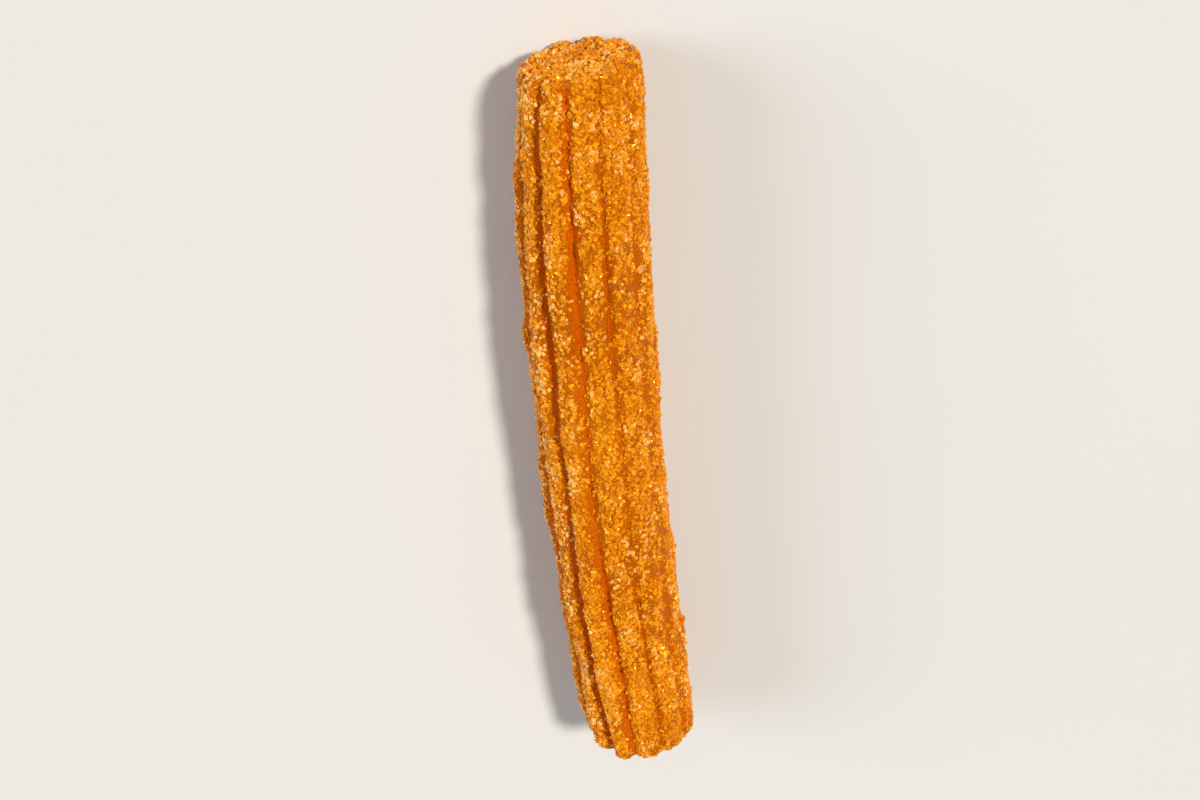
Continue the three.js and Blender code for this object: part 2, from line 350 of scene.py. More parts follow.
def nearest_cell(points, spacing):
    """How far each point is from the nearest of scattered spots, as a part of their spacing."""
    scaled = (points / spacing).reshape(-1, 3)
    values = [noise.voronoi(Vector(point))[0][0] for point in scaled]
    return np.array(values).reshape(points.shape[:-1])


def lengthwise_outline(form):
    """Half a lengthwise cut, from near the axis at -Y to near the axis at +Y, as reach and place along."""
    half = form.half_length
    rim_reach = 1 - RIM_RADIUS / form.radius
    rings = [(rim_reach * ring / END_RINGS, half) for ring in range(1, END_RINGS)]
    rim = []
    for step in range(RIM_STEPS + 1):
        turn = step / RIM_STEPS * math.pi / 2
        reach = 1 - RIM_RADIUS * (1 - math.sin(turn)) / form.radius
        rim.append((reach, half - RIM_RADIUS * (1 - math.cos(turn))))
    upper = rings + rim
    side_end = half - RIM_RADIUS
    side = [(1.0, side_end * (2 * step / SIDE_STEPS - 1)) for step in range(1, SIDE_STEPS)]
    lower = [(reach, -along) for reach, along in upper]
    return np.array(lower + side + upper[::-1])


def ridge_places():
    """For each column of the mesh, its ridge and how far across that ridge it lies."""
    even = np.arange(FACETS_PER_RIDGE) / FACETS_PER_RIDGE
    across = even - GROOVE_CROWDING * np.sin(FULL_TURN * even) / FULL_TURN
    return np.repeat(np.arange(RIDGES), FACETS_PER_RIDGE), np.tile(across, RIDGES)


def grid_faces(rows, columns):
    """Faces of a closed tube of rows and columns with a point at each end, all facing outwards."""
    start, finish = rows * columns, rows * columns + 1
    row, column = np.meshgrid(np.arange(rows - 1), np.arange(columns), indexing="ij")
    following = (column + 1) % columns
    quads = np.stack(
        [
            row * columns + column,
            (row + 1) * columns + column,
            (row + 1) * columns + following,
            row * columns + following,
        ],
        axis=-1,
    ).reshape(-1, 4)
    faces = quads.tolist()
    last = (rows - 1) * columns
    for column in range(columns):
        following = (column + 1) % columns
        faces.append([start, column, following])
        faces.append([finish, last + following, last + column])
    return faces


def map_dough(mesh, outline, columns):
    """Lays the dough out on its bake map: the side as one sheet, and each cut end as a disc beside it."""
    rows = len(outline)
    first_side = END_RINGS - 1
    last_side = rows - END_RINGS
    points = np.empty(len(mesh.vertices) * 3)
    mesh.vertices.foreach_get("co", points)
    points = points.reshape(-1, 3)
    top = points[:, 2].max()
    end_scale = END_MAP_SPAN / (2 * top)
    layer = mesh.uv_layers.new(name=BAKE_MAP)
    places = np.empty((len(mesh.loops), 2))
    loop = 0
    for polygon in mesh.polygons:
        corners = list(polygon.vertices)
        on_grid = [corner for corner in corners if corner < rows * columns]
        row_numbers = [corner // columns for corner in on_grid]
        column_numbers = [corner % columns for corner in on_grid]
        on_side = len(corners) == 4 and first_side <= min(row_numbers) and max(row_numbers) <= last_side
        if on_side:
            wraps = max(column_numbers) == columns - 1 and min(column_numbers) == 0
            for row, column in zip(row_numbers, column_numbers):
                turned = columns if wraps and column == 0 else column
                u = MAP_MARGIN + (SIDE_MAP_WIDTH - 2 * MAP_MARGIN) * turned / columns
                v = MAP_MARGIN + (1 - 2 * MAP_MARGIN) * (row - first_side) / (last_side - first_side)
                places[loop] = (u, v)
                loop += 1
        else:
            lower, upper = END_MAP_MIDDLES
            middle = upper if min(row_numbers) > rows / 2 else lower
            for corner in corners:
                x, _, z = points[corner]
                u = SIDE_MAP_WIDTH + END_MAP_SPAN / 2 + end_scale * x
                v = middle + end_scale * (z - top / 2)
                places[loop] = (u, v)
                loop += 1
    layer.data.foreach_set("uv", places.ravel())


# ---------------------------------------------------------------------------------------------------------
# Objects and their place in the frame
# ---------------------------------------------------------------------------------------------------------


def new_object(name, vertices, faces, material):
    """A mesh object at the origin, with its one material."""
    mesh = bpy.data.meshes.new(name)
    mesh.from_pydata(vertices.tolist(), [], faces)
    mesh.materials.append(material)
    piece = bpy.data.objects.new(name, mesh)
    bpy.context.scene.collection.objects.link(piece)
    return piece


def add_point_values(mesh, name, values):
    """Stores one number for each point of a mesh, for its material to read."""
    attribute = mesh.attributes.new(name, "FLOAT", "POINT")
    attribute.data.foreach_set("value", np.asarray(values, dtype=np.float32).ravel())


def point_values(mesh, name):
    """The numbers stored for the points of a mesh."""
    values = np.empty(len(mesh.vertices), dtype=np.float32)
    mesh.attributes[name].data.foreach_get("value", values)
    return values


# ---------------------------------------------------------------------------------------------------------
# Grains
# ---------------------------------------------------------------------------------------------------------


def ring_of_corners(sides, height):
    """Corners of a flat shape with even sides, about 1 across, at a height."""
    turn = FULL_TURN * (np.arange(sides) + 0.5) / sides
    reach = 0.5 / math.cos(math.pi / sides)
    return np.stack([reach * np.cos(turn), reach * np.sin(turn), np.full(sides, height)], axis=1)


def prism(sides):
    """Corners and triangles of a block of unit size with that many sides: a whole crystal."""
    corners = np.concatenate([ring_of_corners(sides, -0.5), ring_of_corners(sides, 0.5)])
    faces = []
    for side in range(sides):
        following = (side + 1) % sides
        faces.append((side, following, sides + following))
        faces.append((side, sides + following, sides + side))
    for side in range(1, sides - 1):
        faces.append((0, side + 1, side))
        faces.append((sides, sides + side, sides + side + 1))
    return corners, np.array(faces)


def double_pyramid(sides):
    """Corners and triangles of two pyramids, base to base, of unit size: a chip or a speck."""
    corners = np.concatenate([ring_of_corners(sides, 0.0), [(0, 0, -0.5), (0, 0, 0.5)]])
    faces = []
    for side in range(sides):
        following = (side + 1) % sides
        faces.append((following, side, sides))
        faces.append((side, following, sides + 1))
    return corners, np.array(faces)


class GrainKind(NamedTuple):
    """How one kind of grain is shaped, and how it lies on the dough."""

    shape: tuple  # corners and triangles
    seed: int
    contrast: float  # the more, the fewer of them lie where little sugar stuck
    lift: tuple  # from the dough to a grain's middle, at least and at most, as parts of its size
    smallest: float = 0.66  # as a part of the largest
    height: tuple = (0.6, 1.0)  # at least and at most, as parts of its length
    jitter: float = 0.16  # how far its corners stray, as a part of its size


WHOLE_CRYSTAL = prism(sides=6)
BLOCK = prism(sides=4)
CHIP = double_pyramid(sides=4)

SUGAR_KINDS = {
    "coarse": GrainKind(WHOLE_CRYSTAL, COARSE_SEED, contrast=2.2, lift=(0.0, 0.42)),
    "medium": GrainKind(BLOCK, MEDIUM_SEED, contrast=2.0, lift=(0.0, 0.4)),
    "fine": GrainKind(BLOCK, FINE_SEED, contrast=1.4, lift=(0.05, 0.5)),
    "crushed": GrainKind(CHIP, CRUSHED_SEED, contrast=1.6, lift=(0.05, 0.4)),
}
CINNAMON_KIND = GrainKind(
    CHIP, CINNAMON_SEED, contrast=0.8, lift=(0.1, 0.5), smallest=0.45, height=(0.3, 0.6), jitter=0.1
)


def random_turns(rng, count):
    """Random rotations, evenly spread, as matrices."""
    quaternions = rng.normal(size=(count, 4))
    w, x, y, z = (quaternions / np.linalg.norm(quaternions, axis=1, keepdims=True)).T
    rows = [
        [1 - 2 * (y * y + z * z), 2 * (x * y - z * w), 2 * (x * z + y * w)],
        [2 * (x * y + z * w), 1 - 2 * (x * x + z * z), 2 * (y * z - x * w)],
        [2 * (x * z - y * w), 2 * (y * z + x * w), 1 - 2 * (x * x + y * y)],
    ]
    return np.moveaxis(np.array(rows), 2, 0)


def spots_on(piece, rng, count, attribute, contrast):
    """Evenly strewn spots on a piece's faces, more where the stored number is high, with their normals."""
    mesh = piece.data
    quads = [polygon for polygon in mesh.polygons if polygon.loop_total == 4]
    corners = np.array([polygon.vertices[:] for polygon in quads])
    normals = np.array([polygon.normal[:] for polygon in quads])
    areas = np.array([polygon.area for polygon in quads])
    points = np.empty(len(mesh.vertices) * 3, dtype=np.float32)
    mesh.vertices.foreach_get("co", points)
    points = points.reshape(-1, 3)
    wanted = point_values(mesh, attribute)[corners].mean(axis=1)
    reached = np.cumsum(areas * np.clip(wanted, 0, None) ** contrast)
    draws = (np.arange(count) + rng.random(count)) / count * reached[-1]
    chosen = np.searchsorted(reached, draws)
    across, down = rng.random((2, count, 1))
    quad = points[corners[chosen]]
    near_side = (1 - down) * quad[:, 0] + down * quad[:, 1]
    far_side = (1 - down) * quad[:, 3] + down * quad[:, 2]
    return (1 - across) * near_side + across * far_side, normals[chosen]


def strew(name, dough, kind, largest, count, material):
    """Strews grains of one kind over the dough as one joined mesh, none of them touching the floor."""
    corners, faces = kind.shape
    rng = np.random.default_rng(kind.seed)
    spots, normals = spots_on(dough, rng, count, "sugar", kind.contrast)
    smallest = kind.smallest * largest
    size = smallest + (largest - smallest) * rng.random((count, 1, 1)) ** SMALLNESS
    breadth = rng.uniform(*GRAIN_BREADTH, count)
    height = rng.uniform(*kind.height, count)
    shape = np.stack([np.ones(count), breadth, height], axis=1)
    stray = rng.uniform(-kind.jitter, kind.jitter, (count, len(corners), 3))
    local = corners[None] * shape[:, None, :] + stray
    turned = np.einsum("nij,nkj->nki", random_turns(rng, count), local * size)
    lift = size[:, 0] * rng.uniform(*kind.lift, (count, 1))
    vertices = turned + (spots + normals * lift)[:, None, :]
    clear = vertices[:, :, 2].min(axis=1) > FLOOR_GAP
    vertices = vertices[clear]
    kept = len(vertices)
    all_faces = (faces[None] + len(corners) * np.arange(kept)[:, None, None]).reshape(-1, faces.shape[1])
    piece = new_object(name, vertices.reshape(-1, 3), all_faces.tolist(), material)
    map_grains(piece.data, kept, faces)
    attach(piece, BODY)
    return piece


def map_grains(mesh, grains, faces):
    """Gives each grain its own cell of the bake map, and each of its faces a part of that cell."""
    side = math.ceil(math.sqrt(grains))
    face_count, corner_count = faces.shape
    across = math.ceil(math.sqrt(face_count))
    down = math.ceil(face_count / across)
    face = np.arange(face_count)
    turn = FULL_TURN * (np.arange(corner_count) + 0.5) / corner_count
    patch = 0.5 + 0.5 * np.stack([np.cos(turn), np.sin(turn)], axis=1)
    start = np.stack([face % across, face // across], axis=1)
    in_face = FACE_MARGIN + (1 - 2 * FACE_MARGIN) * patch
    in_cell = (start[:, None, :] + in_face[None]) / np.array([across, down])
    grain = np.arange(grains)
    cell = np.stack([grain % side, grain // side], axis=1)
    in_cell = CELL_MARGIN + (1 - 2 * CELL_MARGIN) * in_cell
    places = (cell[:, None, None, :] + in_cell[None]) / side
    layer = mesh.uv_layers.new(name=BAKE_MAP)
    layer.data.foreach_set("uv", places.ravel())


# ---------------------------------------------------------------------------------------------------------
# Materials
# ---------------------------------------------------------------------------------------------------------

COLOUR = "NodeSocketColor"
NUMBER = "NodeSocketFloat"
PLACES = "NodeSocketVector"

# A Mix node's sockets for colours, which share their names with its other sockets
MIX_AMOUNT = 0
MIX_FIRST = 6
MIX_SECOND = 7
MIX_RESULT = 2

GOLDEN_SHINE = (1.0, 0.6, 0.08, 1.0)  # what oily dough and the crystals on it reflect

# Patterns of the crust: their sizes, how much each browns or darkens it, and how high or deep each is
BROWN_PATCH_SIZE = 14 * MM
MOTTLE_SIZE = 2.2 * MM
MOTTLE_SHARE = 0.45  # of the browning. The patches do the rest.
GROOVE_OILINESS = 0.95
STREAK_WIDTH = 0.9 * MM
STREAK_STRETCH = 9.0
STREAK_BROWNING = 0.28
PIT_SPACING = 0.9 * MM
PIT_DARKENING = 0.45
PIT_DEPTH = 0.5
CRUST_GRAIN_SIZE = 0.45 * MM
CRUST_GRAIN_BROWNING = 0.4
CRUST_GRAIN_HEIGHT = 0.6
BUBBLE_SIZE = 1.4 * MM

# Frost of sugar on the crust
FROST_SIZE = 0.36 * MM
FROST_COVER = (0.1, 0.45)  # where the least sugar stuck, and where the most did
FROST_OPACITY = 0.75
FROST_WARP_SIZE = 0.22 * MM
FROST_WARP = 0.3 * MM
CRUST_HEIGHT = 2.0  # how high the crust's bumps are, beside the frost's

# Tints of the crystals
REGION_SIZE = 7 * MM
REGION_CHANGE = 0.25  # how far a region's crystals lean to one tint or the other
CLOUD_SIZE = 0.22 * MM
CLOUDINESS = 0.5
# Painted glints: more pale crystals on the -X side, which faces the fill lamp, and fewer on the +X side.
PAINTED_GLINT_SIDE_X = (-12 * MM, -2 * MM)
PAINTED_GLINT_SIDE_TIMES = (2.0, 0.3)  # what the share of pale crystals is multiplied by, at the one X and the other: painted glints, more on the -X side that faces the fill lamp and fewer on the +X side
# More pale crystals towards the +Y tip.
PALE_TIP_Y = (56 * MM, 67 * MM)
PALE_TIP_MORE = 0.3  # what is added to that share from the one Y to the other

CINNAMON_DUST_SIZE = 0.5 * MM
TABLE_CLOUD_SIZE = 90 * MM
TABLE_SHADE = 0.97


class Nodes:
    """A short way to write a node tree."""

    def __init__(self, tree):
        self.tree = tree

    def feed(self, node, inputs):
        """Sets a node's inputs, each to a number, a colour or another node's output."""
        for name, value in inputs.items():
            if isinstance(value, bpy.types.NodeSocket):
                self.tree.links.new(value, node.inputs[name])
            else:
                node.inputs[name].default_value = value

    def add(self, kind, inputs=None, **settings):
        """A new node with its settings and inputs."""
        node = self.tree.nodes.new(kind)
        for name, value in settings.items():
            setattr(node, name, value)
        self.feed(node, inputs or {})
        return node

    def group(self, name, make, inputs):
        """The outputs of a node group, which make builds the first time it is asked for."""
        tree = bpy.data.node_groups.get(name) or make(name)
        return self.add("ShaderNodeGroup", inputs, node_tree=tree).outputs

    def math(self, operation, first, second):
        """The result of an operation on two numbers."""
        return self.add("ShaderNodeMath", {0: first, 1: second}, operation=operation).outputs[0]

    def spread(self, value, low, high, start=0.0, end=1.0):
        """value moved from low and high to start and end, smoothly and clamped."""
        inputs = {"Value": value, "From Min": low, "From Max": high, "To Min": start, "To Max": end}
        return self.add("ShaderNodeMapRange", inputs, interpolation_type="SMOOTHSTEP").outputs[0]

    def mix(self, amount, first, second):
        """Two colours mixed: only the first at amount 0, and only the second at 1."""
        inputs = {MIX_AMOUNT: amount, MIX_FIRST: first, MIX_SECOND: second}
        return self.add("ShaderNodeMix", inputs, data_type="RGBA").outputs[MIX_RESULT]

    def noise(self, places, size, detail=3.0, roughness=0.55):
        """Smooth noise with features of a size in metres."""
        inputs = {"Vector": places, "Scale": 1 / size, "Detail": detail, "Roughness": roughness}
        return self.add("ShaderNodeTexNoise", inputs).outputs["Fac"]

    def stretched(self, places, stretch):
        """Places whose pattern is drawn out along the churro."""
        inputs = {"Vector": places, "Scale": (1.0, 1 / stretch, 1.0)}
        return self.add("ShaderNodeMapping", inputs).outputs["Vector"]

    def stored(self, name):
        """The numbers stored on the piece's points under a name."""
        return self.add("ShaderNodeAttribute", attribute_name=name).outputs["Fac"]

    def drawn_for_each_grain(self):
        """A random number from 0 to 1, the same all over a grain."""
        return self.add("ShaderNodeNewGeometry").outputs["Random Per Island"]


def new_group(name, inputs, outputs):
    """A node group with named inputs and outputs: its nodes, what it is given, and its output node."""
    group = bpy.data.node_groups.new(name, "ShaderNodeTree")
    for socket_name, (kind, default) in inputs.items():
        socket = group.interface.new_socket(name=socket_name, in_out="INPUT", socket_type=kind)
        if default is not None:
            socket.default_value = default
    for socket_name, kind in outputs.items():
        group.interface.new_socket(name=socket_name, in_out="OUTPUT", socket_type=kind)
    nodes = Nodes(group)
    return nodes, nodes.add("NodeGroupInput").outputs, nodes.add("NodeGroupOutput")


def frying_group(name):
    """Colour and bumps of fried dough: golden, browner in patches, deeper and oilier in the grooves."""
    nodes, given, result = new_group(
        name,
        {
            "Places": (PLACES, None),
            "Golden": (COLOUR, (0.6, 0.2, 0.02, 1)),
            "Browned": (COLOUR, (0.35, 0.1, 0.01, 1)),
            "Oily": (COLOUR, (0.55, 0.15, 0.01, 1)),
            "Browning": (NUMBER, 0.5),
            "In Groove": (NUMBER, 0.0),
        },
        {"Color": COLOUR, "Height": NUMBER, "Dryness": NUMBER},
    )
    places = given["Places"]
    patches = nodes.math("MULTIPLY", nodes.noise(places, BROWN_PATCH_SIZE, detail=4.0), 1 - MOTTLE_SHARE)
    mottle = nodes.noise(places, MOTTLE_SIZE, detail=4.0, roughness=0.65)
    mixed = nodes.math("ADD", patches, nodes.math("MULTIPLY", mottle, MOTTLE_SHARE))
    browned = nodes.math("MULTIPLY", nodes.spread(mixed, low=0.42, high=0.66), given["Browning"])
    crust = nodes.mix(browned, given["Golden"], given["Browned"])
    oily = nodes.math("MULTIPLY", nodes.spread(given["In Groove"], low=0.15, high=0.6), GROOVE_OILINESS)
    crust = nodes.mix(oily, crust, given["Oily"])

    streaks = nodes.noise(nodes.stretched(places, STREAK_STRETCH), STREAK_WIDTH)
    streaked = nodes.spread(streaks, low=0.35, high=0.7, end=STREAK_BROWNING)
    # The pits are sunk in the bump and made darker in colour by the same mask.
    pits = nodes.add("ShaderNodeTexVoronoi", {"Vector": places, "Scale": 1 / PIT_SPACING})
    pit = nodes.spread(pits.outputs["Distance"], low=0.05, high=0.32, start=1.0, end=0.0)
    darker_in_pits = nodes.math("MULTIPLY", pit, PIT_DARKENING)
    grain = nodes.noise(places, CRUST_GRAIN_SIZE, detail=5.0, roughness=0.7)
    grained = nodes.spread(grain, low=0.48, high=0.72, end=CRUST_GRAIN_BROWNING)
    for browner in (streaked, darker_in_pits, grained):
        crust = nodes.mix(browner, crust, given["Browned"])

    bubbles = nodes.noise(places, BUBBLE_SIZE, roughness=0.6)
    raised = nodes.math("ADD", nodes.math("MULTIPLY", grain, CRUST_GRAIN_HEIGHT), bubbles)
    height = nodes.math("SUBTRACT", raised, nodes.math("MULTIPLY", pit, PIT_DEPTH))
    dryness = nodes.math("SUBTRACT", 1.0, oily)
    nodes.feed(result, {"Color": crust, "Height": height, "Dryness": dryness})
    return nodes.tree


def frost_group(name):
    """Sugar too fine to model: a mask of crystals stuck side by side, how far they stand out, and a tint."""
    nodes, given, result = new_group(
        name,
        {"Places": (PLACES, None), "Size": (NUMBER, 0.4 * MM), "Cover": (NUMBER, 0.5)},
        {"Mask": NUMBER, "Height": NUMBER, "Tint": NUMBER},
    )
    places = given["Places"]
    uneven = nodes.add("ShaderNodeTexNoise", {"Vector": places, "Scale": 1 / FROST_WARP_SIZE})
    warped = nodes.add(
        "ShaderNodeVectorMath",
        {0: uneven.outputs["Color"], 1: (FROST_WARP,) * 3, 2: places},
        operation="MULTIPLY_ADD",
    )
    scale = nodes.math("DIVIDE", 1.0, given["Size"])
    cells = nodes.add("ShaderNodeTexVoronoi", {"Vector": warped.outputs[0], "Scale": scale}).outputs
    drawn = nodes.add("ShaderNodeSeparateColor", {"Color": cells["Color"]}).outputs
    present = nodes.math("LESS_THAN", drawn["Red"], given["Cover"])
    dome = nodes.spread(cells["Distance"], low=0.2, high=0.62, start=1.0, end=0.0)
    mask = nodes.math("MULTIPLY", present, dome)
    nodes.feed(result, {"Mask": mask, "Height": mask, "Tint": drawn["Green"]})
    return nodes.tree


def crystal_group(name):
    """Look of loose crystals: each has its own tint between two, those that stayed dry are pale, and more are
    pale on the -X side as painted glints and towards the +Y tip.
    """
    nodes, given, result = new_group(
        name,
        {
            "Places": (PLACES, None),
            "Soaked": (COLOUR, (0.6, 0.2, 0.02, 1)),
            "Honey": (COLOUR, (0.8, 0.4, 0.08, 1)),
            "Pale": (COLOUR, (1.0, 0.7, 0.35, 1)),
            "Pale Share": (NUMBER, 0.15),
        },
        {"Color": COLOUR, "Roughness": NUMBER, "Height": NUMBER},
    )
    places = given["Places"]
    drawn = nodes.drawn_for_each_grain()
    region = nodes.noise(places, REGION_SIZE)
    change = nodes.spread(region, low=0.3, high=0.7, start=-REGION_CHANGE, end=REGION_CHANGE)
    shifted = nodes.math("ADD", drawn, change)
    tint = nodes.mix(nodes.spread(shifted, low=0.0, high=0.9), given["Soaked"], given["Honey"])

    place = nodes.add("ShaderNodeSeparateXYZ", {"Vector": places}).outputs
    # Painted glints: the share of pale crystals is raised on the -X side and lowered on the +X side.
    painted_glints_by_side = nodes.spread(place["X"], *PAINTED_GLINT_SIDE_X, *PAINTED_GLINT_SIDE_TIMES)
    by_tip = nodes.spread(place["Y"], *PALE_TIP_Y, end=PALE_TIP_MORE)
    share = nodes.math("MULTIPLY", nodes.math("ADD", given["Pale Share"], by_tip), painted_glints_by_side)
    # Pale crystals: those that stayed dry, and the painted glints on the -X side.
    dry = nodes.math("GREATER_THAN", shifted, nodes.math("SUBTRACT", 1.0, share))
    tint = nodes.mix(dry, tint, given["Pale"])

    cloud = nodes.noise(places, CLOUD_SIZE, roughness=0.6)
    cloudy = nodes.spread(cloud, low=0.4, high=0.68, end=CLOUDINESS)
    colour = nodes.mix(cloudy, tint, given["Soaked"])
    roughness = nodes.spread(drawn, low=0.0, high=1.0, start=0.08, end=0.35)
    nodes.feed(result, {"Color": colour, "Roughness": roughness, "Height": cloud})
    return nodes.tree


def new_material(name):
    """A material, its nodes, its Principled shader and the places on the piece."""
    material = bpy.data.materials.new(name)
    material.use_nodes = True
    nodes = Nodes(material.node_tree)
    places = nodes.add("ShaderNodeTexCoord").outputs["Object"]
    return material, nodes, material.node_tree.nodes["Principled BSDF"], places


def fried_dough_material(colours):
    """Fried dough with a frost of sugar too fine to model."""
    material, nodes, shader, places = new_material("fried_dough")
    crust = nodes.group(
        "FriedCrust",
        frying_group,
        {
            "Places": places,
            "Golden": colours.golden,
            "Browned": colours.browned,
            "Oily": colours.oily,
            "Browning": colours.browning,
            "In Groove": nodes.stored("groove"),
        },
    )
    least, most = FROST_COVER
    cover = nodes.spread(nodes.stored("sugar"), low=0.1, high=0.9, start=least, end=most)
    frost = nodes.group("SugarFrost", frost_group, {"Places": places, "Size": FROST_SIZE, "Cover": cover})
    sugar = nodes.mix(frost["Tint"], colours.soaked_sugar, colours.honey_sugar)
    crust_height = nodes.math("MULTIPLY", crust["Height"], CRUST_HEIGHT)
    height = nodes.math("ADD", crust_height, frost["Height"])
    bump = {"Strength": 0.9, "Distance": 0.17 * MM, "Height": height}
    frosted = nodes.math("MULTIPLY", frost["Mask"], FROST_OPACITY)
    nodes.feed(
        shader,
        {
            "Base Color": nodes.mix(frosted, crust["Color"], sugar),
            "Roughness": nodes.spread(crust["Dryness"], low=0.0, high=1.0, start=0.36, end=0.55),
            "Normal": nodes.add("ShaderNodeBump", bump).outputs["Normal"],
            "Specular IOR Level": 0.3,
            "Specular Tint": GOLDEN_SHINE,
            "Subsurface Weight": 0.3,
            "Subsurface Radius": (1.0, 0.4, 0.06),
            "Subsurface Scale": 1.6 * MM,
        },
    )
    return material


def sugar_material(name, colours):
    """Sugar crystals: translucent, tinted by oil and cinnamon, glittering where a face meets the light."""
    material, nodes, shader, places = new_material(name)
    crystal = nodes.group(
        "CrystalTint",
        crystal_group,
        {
            "Places": places,
            "Soaked": colours.soaked_sugar,
            "Honey": colours.honey_sugar,
            "Pale": colours.pale_sugar,
            "Pale Share": colours.pale_share,
        },
    )
    bump = {"Strength": 0.5, "Distance": 0.03 * MM, "Height": crystal["Height"]}
    nodes.feed(
        shader,
        {
            "Base Color": crystal["Color"],
            "Roughness": crystal["Roughness"],
            "Normal": nodes.add("ShaderNodeBump", bump).outputs["Normal"],
            "Specular IOR Level": 0.6,
            "Specular Tint": GOLDEN_SHINE,
            "Subsurface Weight": 0.12,
            "Subsurface Radius": (1.0, 0.6, 0.25),
            "Subsurface Scale": 0.3 * MM,
        },
    )
    return material


def cinnamon_material(colours):
    """Ground cinnamon: dull specks, some redder than others."""
    material, nodes, shader, places = new_material("cinnamon")
    dust = nodes.spread(nodes.noise(places, CINNAMON_DUST_SIZE, detail=2.0), low=0.2, high=0.8, start=0.6)
    amount = nodes.math("MULTIPLY", nodes.drawn_for_each_grain(), dust)
    tint = nodes.mix(amount, colours.dark_cinnamon, colours.light_cinnamon)
    nodes.feed(shader, {"Base Color": tint, "Roughness": 0.8})
    return material


def table_material(colours):
    """A pale matt table top with the faintest unevenness."""
    material, nodes, shader, places = new_material("table_top")
    cloudy = nodes.noise(places, TABLE_CLOUD_SIZE, detail=2.0)
    darker = tuple(TABLE_SHADE * channel for channel in colours.table[:3]) + (1.0,)
    tint = nodes.mix(cloudy, colours.table, darker)
    nodes.feed(shader, {"Base Color": tint, "Roughness": 0.9, "Specular IOR Level": 0.05})
    return material


# ---------------------------------------------------------------------------------------------------------
# Settings
# ---------------------------------------------------------------------------------------------------------


def length_setting(name, description, default):
    """A length in metres."""
    return FloatProperty(
        name=name, description=description, default=default, min=0.0, precision=5, unit="LENGTH"
    )


def share_setting(name, description, default):
    """A part of a whole, from 0 to 1."""
    return FloatProperty(
        name=name, description=description, default=default, min=0.0, max=1.0, subtype="FACTOR"
    )


def count_setting(name, description, default):
    """A number of grains."""
    return IntProperty(name=name, description=description, default=default, min=0)


def strength_setting(name, description, default):
    """The strength of a light, which has no unit."""
    return FloatProperty(name=name, description=description, default=default, min=0.0)


def colour_setting(name, description, default):
    """A linear colour with its alpha."""
    return FloatVectorProperty(
        name=name, description=description, default=default, size=4, min=0.0, max=1.0, subtype="COLOR"
    )


class ChurroDoughSettings(bpy.types.PropertyGroup):
    """Sizes of the dough."""

    length: length_setting("Length", "From one cut end to the other", 135 * MM)
    diameter: length_setting("Diameter", "Over the ridges where the dough is full", 22 * MM)
    bow: length_setting("Bow", "How far the middle bends out of line", 2.6 * MM)
    flat_depth: length_setting("Flat Depth", "How much is pressed flat underneath", 0.9 * MM)
    groove_depth: length_setting("Groove Depth", "Depth of the grooves between the ridges", 2.1 * MM)
    ridge_fullness: FloatProperty(
        name="Ridge Fullness", description="More gives broader ridges", default=2.6, min=1.0, max=8.0
    )
    crust_roughness: length_setting("Crust Roughness", "Height of the tears and blisters", 0.13 * MM)


class ChurroSugarSettings(bpy.types.PropertyGroup):
    """Sizes and numbers of the grains."""

    coarse_size: length_setting("Coarse Grain", "Size of the largest crystals", 0.9 * MM)
    medium_size: length_setting("Medium Grain", "Size of the usual crystals", 0.68 * MM)
    fine_size: length_setting("Fine Grain", "Size of the small crystals", 0.45 * MM)
    crushed_size: length_setting("Crushed Grain", "Size of the chips of broken crystals", 0.38 * MM)
    cinnamon_size: length_setting("Cinnamon Speck", "Size of the largest specks", 0.42 * MM)
    coarse_count: count_setting("Coarse Grains", "How many of the largest crystals", 9600)
    medium_count: count_setting("Medium Grains", "How many of the usual crystals", 15500)
    fine_count: count_setting("Fine Grains", "How many of the small crystals", 15000)
    crushed_count: count_setting("Crushed Grains", "How many chips of broken crystals", 15000)
    cinnamon_count: count_setting("Cinnamon Specks", "How many specks among the sugar", 2600)
    bare_grooves: share_setting("Bare Grooves", "How little sugar sticks in the grooves", 0.95)
    patchiness: share_setting("Patchiness", "How much the sugar differs from place to place", 0.16)
    laciness: share_setting("Laciness", "How much the grains clump and leave gaps", 0.28)


class ChurroColourSettings(bpy.types.PropertyGroup):
    """Colours of the dough, the sugar and the table."""

    golden: colour_setting("Golden", "Well fried dough", (0.58, 0.13, 0.001, 1))
    browned: colour_setting("Browned", "The darkest fried dough", (0.43, 0.078, 0.001, 1))
    oily: colour_setting("Oily", "Smooth dough in the grooves", (0.7, 0.122, 0.0004, 1))
    browning: share_setting("Browning", "How much of the dough is browned", 0.55)
    soaked_sugar: colour_setting("Soaked Sugar", "Crystals soaked with oil", (0.68, 0.198, 0.002, 1))
    honey_sugar: colour_setting("Honey Sugar", "Most crystals", (0.97, 0.41, 0.01, 1))
    # Pale Sugar is also the colour of the painted glints on the -X side, where more crystals are made pale.
    pale_sugar: colour_setting("Pale Sugar", "Crystals that stayed dry", (1.0, 0.59, 0.16, 1))
    pale_share: share_setting("Pale Share", "How many crystals stayed dry", 0.15)
    dark_cinnamon: colour_setting("Dark Cinnamon", "The darkest specks", (0.11, 0.028, 0.006, 1))
    light_cinnamon: colour_setting("Light Cinnamon", "The lightest specks", (0.32, 0.1, 0.02, 1))
    table: colour_setting("Table", "The table top", (0.73, 0.74, 0.745, 1))


